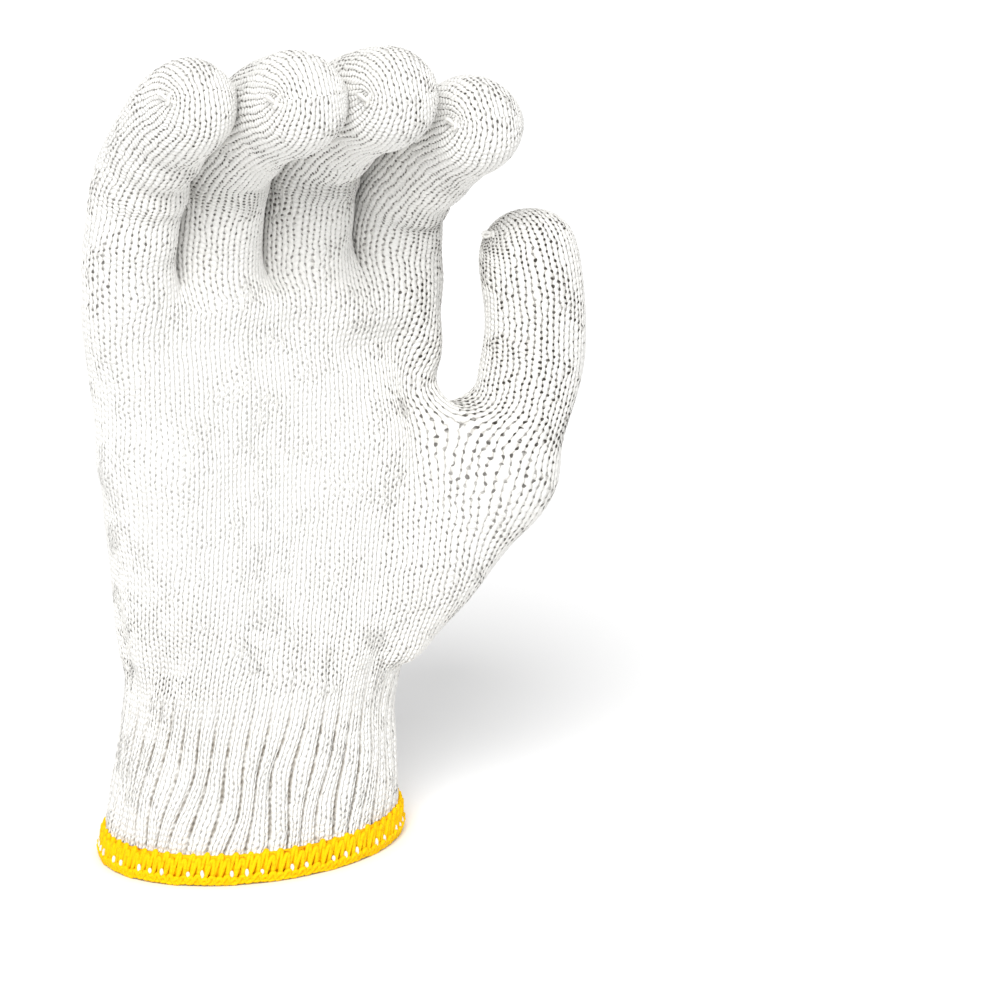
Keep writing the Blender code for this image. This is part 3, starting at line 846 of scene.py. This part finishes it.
def overlock():
    """The seam's loops of yarn, outside the cuff's edge and inside it."""
    waves = [seam_wave(thread) for thread in OUTER_THREADS]
    waves += [seam_wave(thread, -WALL) for thread in INNER_THREADS]
    whole = bmesh.new()
    for index, wave in enumerate(waves):
        whole.from_mesh(seam_thread(f"thread_{index}", wave, SEAM_YARN))
    return new_piece("edge_overlock_yarn", whole)


def needle_stitches():
    """The white needle thread, which shows as short upright stitches between the yellow loops."""
    whole = bmesh.new()
    for index in range(SEAM_STITCHES):
        if index % NEEDLE_CYCLE in NEEDLE_HIDDEN:
            continue
        made = bmesh.ops.create_uvsphere(whole, u_segments=8, v_segments=6, radius=1)["verts"]
        share, pace = NEEDLE_UNEVENNESS
        length = NEEDLE_LENGTH * (1 + share * math.sin(pace * index))
        bmesh.ops.scale(whole, verts=made, vec=(NEEDLE_WIDTH, NEEDLE_WIDTH, length))
        place_at = wrist_point((index + 0.5) / SEAM_STITCHES, NEEDLE_HEIGHT, NEEDLE_OUT)
        bmesh.ops.translate(whole, verts=made, vec=place_at)
    return new_piece("edge_needle_stitches", whole)


def seam_core():
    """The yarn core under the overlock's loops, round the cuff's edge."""
    out = SEAM_GAP + CORE_THICKNESS
    top = SEAM_HEIGHT * CORE_TOP
    profile = ((0.0, top), (out * 0.7, top), (out, SEAM_HEIGHT * CORE_SHOULDER), (out, CORE_FOOT),
               (-WALL / 2, 0.0), (-WALL - out, CORE_FOOT), (-WALL - out, SEAM_HEIGHT * CORE_INNER_TOP))
    core = bmesh.new()
    core.faces.layers.int.new("piece")
    core.loops.layers.uv.new("stitches")

    def seam_ring(grow, height):
        return [wrist_point(index / RING_COLUMNS, height, grow) for index in range(RING_COLUMNS)]

    ring = new_ring(core, seam_ring(*profile[0]))
    for step in profile[1:]:
        ring = add_row(core, ring, CUFF, 0)
        place(ring, seam_ring(*step))
    face_outwards(core)
    return new_piece("edge_overlock_core", core)


# Closing knots

def closing_knot(name, path, length, width, spin):
    """The tangled end of yarn that closes a tip."""
    share = 1 - TIP_LENGTH * width / length
    index = round(share * (len(path[0]) - 1))
    along = path[1][index]
    side = (Vector((1, 0, 0)) - along * along.x).normalized()
    front = side.cross(along)
    rise = math.sqrt(1 - KNOT_PLACE ** 2) * TIP_LENGTH * width - KNOT_SINK
    pole = path[0][index] + along * rise - side * KNOT_PLACE * width / 2
    points = []
    for step in range(KNOT_STEPS):
        angle = 2 * math.pi * step / KNOT_STEPS + spin
        across = KNOT_REACH * math.cos(2 * angle) * (1 + KNOT_UNEVENNESS * math.sin(angle))
        ahead = KNOT_REACH * KNOT_NARROWNESS * math.sin(3 * angle)
        points.append(pole + side * across + front * ahead + along * KNOT_SINK * math.cos(5 * angle))
    mesh = seam_thread(name, points, KNOT_YARN)
    mesh.shade_smooth()
    return new_object(name, mesh)


def closing_knots():
    """One knot for each finger and the thumb, with the part's node that it sits on."""
    tips = [(f.name, finger_path(f), FINGER_LENGTH * f.length, FINGER_WIDTH * f.width) for f in FINGERS]
    tips.append(("thumb", thumb_path(), THUMB_LENGTH, THUMB_WIDTH))
    return {node: closing_knot(node + "_closing_knot", path, length, width, spin)
            for spin, (node, path, length, width) in enumerate(tips)}


# Materials

class Wiring:
    """Adds nodes to a tree and joins them up."""

    def __init__(self, tree):
        self.tree = tree

    def feed(self, socket, value):
        if isinstance(value, bpy.types.NodeSocket):
            self.tree.links.new(value, socket)
        else:
            socket.default_value = value

    def add(self, kind, inputs, output=0, **settings):
        node = self.tree.nodes.new(kind)
        for name, value in settings.items():
            setattr(node, name, value)
        for key, value in inputs.items():
            self.feed(node.inputs[key], value)
        return node.outputs[output]

    def math(self, operation, *values):
        return self.add("ShaderNodeMath", dict(enumerate(values)), operation=operation)

    def ramp(self, value, low, high):
        """0 below low and 1 above high, smoothly between."""
        return self.add("ShaderNodeMapRange", {"Value": value, "From Min": low, "From Max": high},
                        interpolation_type="SMOOTHSTEP")

    def round_about(self, place, centre, reach):
        """0 at reach's first distance from the centre and 1 at its second."""
        apart = self.add("ShaderNodeVectorMath", {0: place, 1: centre}, output="Value", operation="DISTANCE")
        return self.ramp(apart, *reach)

    def noise(self, vector, scale, detail=2.0):
        return self.add("ShaderNodeTexNoise", {"Vector": vector, "Scale": scale, "Detail": detail})

    def tint(self, share, low, high):
        """A colour from low to high; each is a socket or three numbers."""
        low, high = [c if isinstance(c, bpy.types.NodeSocket) else (*c, 1) for c in (low, high)]
        return self.add("ShaderNodeMix", {0: share, 6: low, 7: high}, output=2, data_type="RGBA")

    def waver(self, stitches, place):
        """Stitch coordinates that waver a little, as hand-laid knit does."""
        for scale, reach in STITCH_WAVER:
            drift = self.add("ShaderNodeTexNoise", {"Vector": place, "Scale": scale, "Detail": 1.0},
                             output="Color")
            drift = self.add("ShaderNodeVectorMath", {0: drift, 1: (0.5, 0.5, 0.5)}, operation="SUBTRACT")
            stitches = self.add("ShaderNodeVectorMath", {0: drift, 1: (reach, reach, 0), 2: stitches},
                                operation="MULTIPLY_ADD")
        return stitches

    def group(self, tree, **inputs):
        node = self.tree.nodes.new("ShaderNodeGroup")
        node.node_tree = tree
        for key, value in inputs.items():
            self.feed(node.inputs[key], value)
        return node.outputs


def new_group(name, sockets_in, sockets_out):
    tree = bpy.data.node_groups.new(name, "ShaderNodeTree")
    for label, kind in sockets_in:
        tree.interface.new_socket(label, in_out="INPUT", socket_type=kind)
    for label in sockets_out:
        tree.interface.new_socket(label, in_out="OUTPUT", socket_type="NodeSocketFloat")
    return Wiring(tree), tree.nodes.new("NodeGroupInput").outputs, tree.nodes.new("NodeGroupOutput").inputs


def jersey_group():
    """Plain knitting on stitch coordinates: the yarn's height, and the pinholes where four legs meet."""
    sockets = [("Stitches", "NodeSocketVector"), ("Taut", "NodeSocketFloat")]
    wire, given, out = new_group("jersey_stitches", sockets, ["Yarn", "Pinhole", "Groove"])
    parts = wire.add("ShaderNodeSeparateXYZ", {0: given["Stitches"]}).node.outputs
    from_middle = wire.math("ABSOLUTE", wire.math("SUBTRACT", wire.math("FRACT", parts[0]), 0.5))
    side = wire.math("MULTIPLY", from_middle, 2)
    leg = wire.math("ABSOLUTE", wire.math("SINE", wire.math("MULTIPLY", parts[0], 2 * math.pi)))
    slanted = wire.math("MULTIPLY_ADD", side, -WALE_SLANT, parts[1])
    phase = wire.math("COSINE", wire.math("MULTIPLY", slanted, 2 * math.pi))
    beads = wire.math("MULTIPLY_ADD", phase, 0.3, 0.7)
    wire.feed(out["Yarn"], wire.math("MULTIPLY", wire.math("SQRT", leg), beads))
    groove = wire.math("SUBTRACT", 1.0, leg)
    hole = wire.math("MULTIPLY", groove, wire.math("MULTIPLY_ADD", phase, -0.5, 0.5))
    edge, heart = [wire.math("MULTIPLY_ADD", given["Taut"], widened, start)
                   for start, widened in (PINHOLE_EDGE, PINHOLE_HEART)]
    wire.feed(out["Pinhole"], wire.ramp(hole, edge, heart))
    wire.feed(out["Groove"], wire.math("POWER", groove, GROOVE_SHARPNESS))
    return wire.tree


def lint_group():
    """The yarn's fine fuzz, as a height, and slow patches of warmer and whiter yarn."""
    wire, given, out = new_group("yarn_lint", [("Place", "NodeSocketVector")], ["Fuzz", "Patches"])
    wire.feed(out["Fuzz"], wire.noise(given["Place"], FUZZ_SCALE, 3.0))
    wire.feed(out["Patches"], wire.noise(given["Place"], PATCH_SCALE))
    return wire.tree


def new_material(name, roughness, sheen=0.0):
    material = bpy.data.materials.new(name)
    material.use_nodes = True
    shader = material.node_tree.nodes["Principled BSDF"]
    shader.inputs["Roughness"].default_value = roughness
    shader.inputs["Sheen Weight"].default_value = sheen
    return material, Wiring(material.node_tree), shader


def cotton(name, jersey, lint, pinhole_shade, ribbed=False):
    """Bleached cotton in plain knitting, with painted shade in the pinholes between the stitches; the fourth
    argument sets how dark that painted shade gets.
    """
    material, wire, shader = new_material(name, COTTON_ROUGHNESS, COTTON_SHEEN)
    stitches = wire.add("ShaderNodeUVMap", {}, uv_map="stitches")
    place = wire.add("ShaderNodeTexCoord", {}, output="Object")
    yarn = wire.group(lint, Place=place)
    # The knit's stretch and painted light: low round the palm's middle, a painted highlight; high round the
    # thumb, stretched and in painted shade
    stretch_and_shade = wire.math("ADD", wire.round_about(place, PALM_PAINTED_HIGHLIGHT, PALM_HIGHLIGHT_REACH),
                     wire.round_about(place, THUMB_STRETCH_AND_SHADE, THUMB_STRETCH_AND_SHADE_REACH))
    knit = wire.group(jersey, Stitches=wire.waver(stitches, place), Taut=stretch_and_shade)
    # How strong a pinhole's painted shade is: by the stretch-and-shade mask, by slow patches, and by each
    # stitch for itself
    stretch_and_shade_factor = wire.math("MULTIPLY_ADD", stretch_and_shade, 0.40, 0.60)
    patch = wire.ramp(wire.noise(place, PINHOLE_PATCH_SCALE), 0.30, 0.70)
    patch = wire.math("MULTIPLY_ADD", patch, 0.3, 0.7)
    each = wire.ramp(wire.noise(stitches, 1.4, 1.0), 0.34, 0.56)
    each = wire.math("MULTIPLY_ADD", each, 0.55, 0.45)
    strength = wire.math("MULTIPLY", wire.math("MULTIPLY", patch, stretch_and_shade_factor), each)
    colour = wire.tint(yarn["Patches"], COTTON_COLOUR, COTTON_WARM)
    # Painted shade in the grooves between the wales, deeper where the stretch-and-shade mask is high
    groove_shade = wire.math("MULTIPLY", knit["Groove"], wire.math("MULTIPLY_ADD", stretch_and_shade, 0.30, 0.06))
    colour = wire.tint(groove_shade, colour, COTTON_PAINTED_SHADE)
    # Painted shade along the grooves between the cuff's ribs, broken up and fading towards the top
    if ribbed:
        parts = wire.add("ShaderNodeSeparateXYZ", {0: stitches}).node.outputs
        level = wire.add("ShaderNodeSeparateXYZ", {0: place}).node.outputs[2]
        across = wire.math("FRACT", wire.math("MULTIPLY", parts[0], 1 / WALES))
        from_rib = wire.math("ABSOLUTE", wire.math("SUBTRACT", across, 0.5))
        line = wire.math("SUBTRACT", 1.0, wire.ramp(from_rib, *RIB_SHADE_SPAN))
        broken = wire.ramp(wire.noise(place, RIB_SHADE_BREAK_SCALE, 3.0), 0.38, 0.60)
        broken = wire.math("MULTIPLY_ADD", broken, 0.75, 0.25)
        fade = wire.math("SUBTRACT", 1.0, wire.ramp(level, CUFF_HEIGHT * RIB_SHADE_TOP, CUFF_HEIGHT))
        line = wire.math("MULTIPLY", wire.math("MULTIPLY", line, broken), fade)
        colour = wire.tint(wire.math("MULTIPLY", line, RIB_SHADE_STRENGTH), colour, RIB_GROOVE_SHADE)
    # Painted shade: the pinholes are darkened towards the glove's dark inside
    hole = wire.math("MULTIPLY", wire.math("MULTIPLY", knit["Pinhole"], strength), pinhole_shade)
    wire.feed(shader.inputs["Base Color"], wire.tint(hole, colour, PINHOLE_SHADE_COLOUR))
    height = wire.math("MULTIPLY_ADD", yarn["Fuzz"], 0.5, knit["Yarn"])
    bump = wire.add("ShaderNodeBump", {"Height": height, "Distance": STITCH_BUMP})
    wire.feed(shader.inputs["Normal"], bump)
    return material


def dyed_yarn(name, lint, colours, deep):
    """Yarn with fine plies; deep is how much of the second colour shows in slow patches, and of the third, a
    painted shade, between the plies.
    """
    material, wire, shader = new_material(name, YARN_ROUGHNESS)
    shader.inputs["Specular IOR Level"].default_value = YARN_GLOSS
    place = wire.add("ShaderNodeTexCoord", {}, output="Object")
    yarn = wire.group(lint, Place=place)
    colour = wire.tint(wire.math("MULTIPLY", yarn["Patches"], deep), colours[0], colours[1])
    # Painted shade in the gaps between the plies
    ply_gap_shade = wire.math("MULTIPLY", wire.ramp(wire.noise(place, PLY_SCALE), 0.52, 0.72), deep)
    wire.feed(shader.inputs["Base Color"], wire.tint(ply_gap_shade, colour, colours[2]))
    bump = wire.add("ShaderNodeBump", {"Height": yarn["Fuzz"], "Distance": STITCH_BUMP})
    wire.feed(shader.inputs["Normal"], bump)
    return material


# Stage

def make_camera():
    back = Vector((math.sin(VIEW_AZIMUTH) * math.cos(VIEW_ELEVATION),
                   -math.cos(VIEW_AZIMUTH) * math.cos(VIEW_ELEVATION), math.sin(VIEW_ELEVATION)))
    right = Vector((math.cos(VIEW_AZIMUTH), math.sin(VIEW_AZIMUTH), 0))
    up = back.cross(right)
    data = bpy.data.cameras.new("camera")
    data.sensor_width = SENSOR
    data.lens = FOCAL_PIXELS / IMAGE_PIXELS * SENSOR
    camera = new_object("camera", data)
    camera.location = back * VIEW_DISTANCE + right * AIM_RIGHT + up * AIM_UP
    camera.rotation_mode = "QUATERNION"
    camera.rotation_quaternion = Matrix((right, up, back)).transposed().to_quaternion()
    bpy.context.scene.camera = camera


def make_floor(level):
    sheet = bmesh.new()
    bmesh.ops.create_grid(sheet, x_segments=1, y_segments=1, size=6)
    bmesh.ops.translate(sheet, verts=sheet.verts, vec=(0, 0, level))
    mesh = bpy.data.meshes.new("floor")
    sheet.to_mesh(mesh)
    sheet.free()
    material, wire, shader = new_material("floor_paper", 0.9)
    shader.inputs["Base Color"].default_value = FLOOR_COLOUR
    mesh.materials.append(material)
    new_object("floor", mesh)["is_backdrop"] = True


def make_light():
    """An even white room, and a broad sun from the upper left of the view."""
    world = bpy.data.worlds.new("studio")
    world.use_nodes = True
    world.node_tree.nodes["Background"].inputs["Color"].default_value = (1, 1, 1, 1)
    world.node_tree.nodes["Background"].inputs["Strength"].default_value = ROOM_LIGHT
    bpy.context.scene.world = world
    data = bpy.data.lights.new("key", "SUN")
    data.energy = KEY_LIGHT
    data.angle = KEY_SPREAD
    lamp = new_object("key", data)
    lamp.rotation_mode = "QUATERNION"
    lamp.rotation_quaternion = Vector(KEY_FROM).to_track_quat("Z", "Y")
    bpy.context.scene.view_settings.view_transform = "Standard"


def shown(piece, material, slot, *nodes):
    """Gives a finished piece its material, hides the part's nodes that it stands for, and attaches it under
    the root; slot is not used.
    """
    piece.data.materials.append(material)
    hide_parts(*nodes)
    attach(piece, "root")


def build():
    jersey, lint = jersey_group(), lint_group()
    knit = cotton("knit_cotton", jersey, lint, PINHOLE_SHADE_DARKNESS)
    rib = cotton("knit_cotton_rib", jersey, lint, RIB_PINHOLE_SHADE_DARKNESS, ribbed=True)
    yarn = dyed_yarn("overlock_yarn", lint, (YARN_COLOUR, YARN_DEEP_TONE_AND_SHADE, YARN_PAINTED_SHADE), 0.3)
    # The core under the loops takes the deep tone and the ply shade in full, as painted shade where it shows
    # between the loops
    shaded_core_yarn = dyed_yarn("overlock_core_painted_shade", lint, (YARN_COLOUR, YARN_DEEP_TONE_AND_SHADE, YARN_PAINTED_SHADE), 1.0)
    white = dyed_yarn("needle_cotton", lint, (COTTON_WARM, COTTON_COLOUR, COTTON_PAINTED_SHADE), 0.3)
    cage = knit_cage()
    inside = inside_face(cage)
    pass_through(cage)
    fine = refine(cage)
    cage.free()
    fine.shade_smooth()
    raise_stitches(fine)
    for piece, thing in part_pieces(fine).items():
        shown(thing, rib if piece == CUFF else knit, "knit_cotton", PIECES[piece][1])
    shown(inside, knit, "knit_cotton")
    shown(seam_core(), shaded_core_yarn, "overlock_yarn", "edge_overlock")
    shown(overlock(), yarn, "overlock_yarn", "edge_overlock")
    shown(needle_stitches(), white, "knit_cotton", "edge_overlock")
    for node, knot in closing_knots().items():
        shown(knot, white, "knit_cotton", node)
    make_camera()
    make_floor(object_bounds()[0].z)
    make_light()


build()
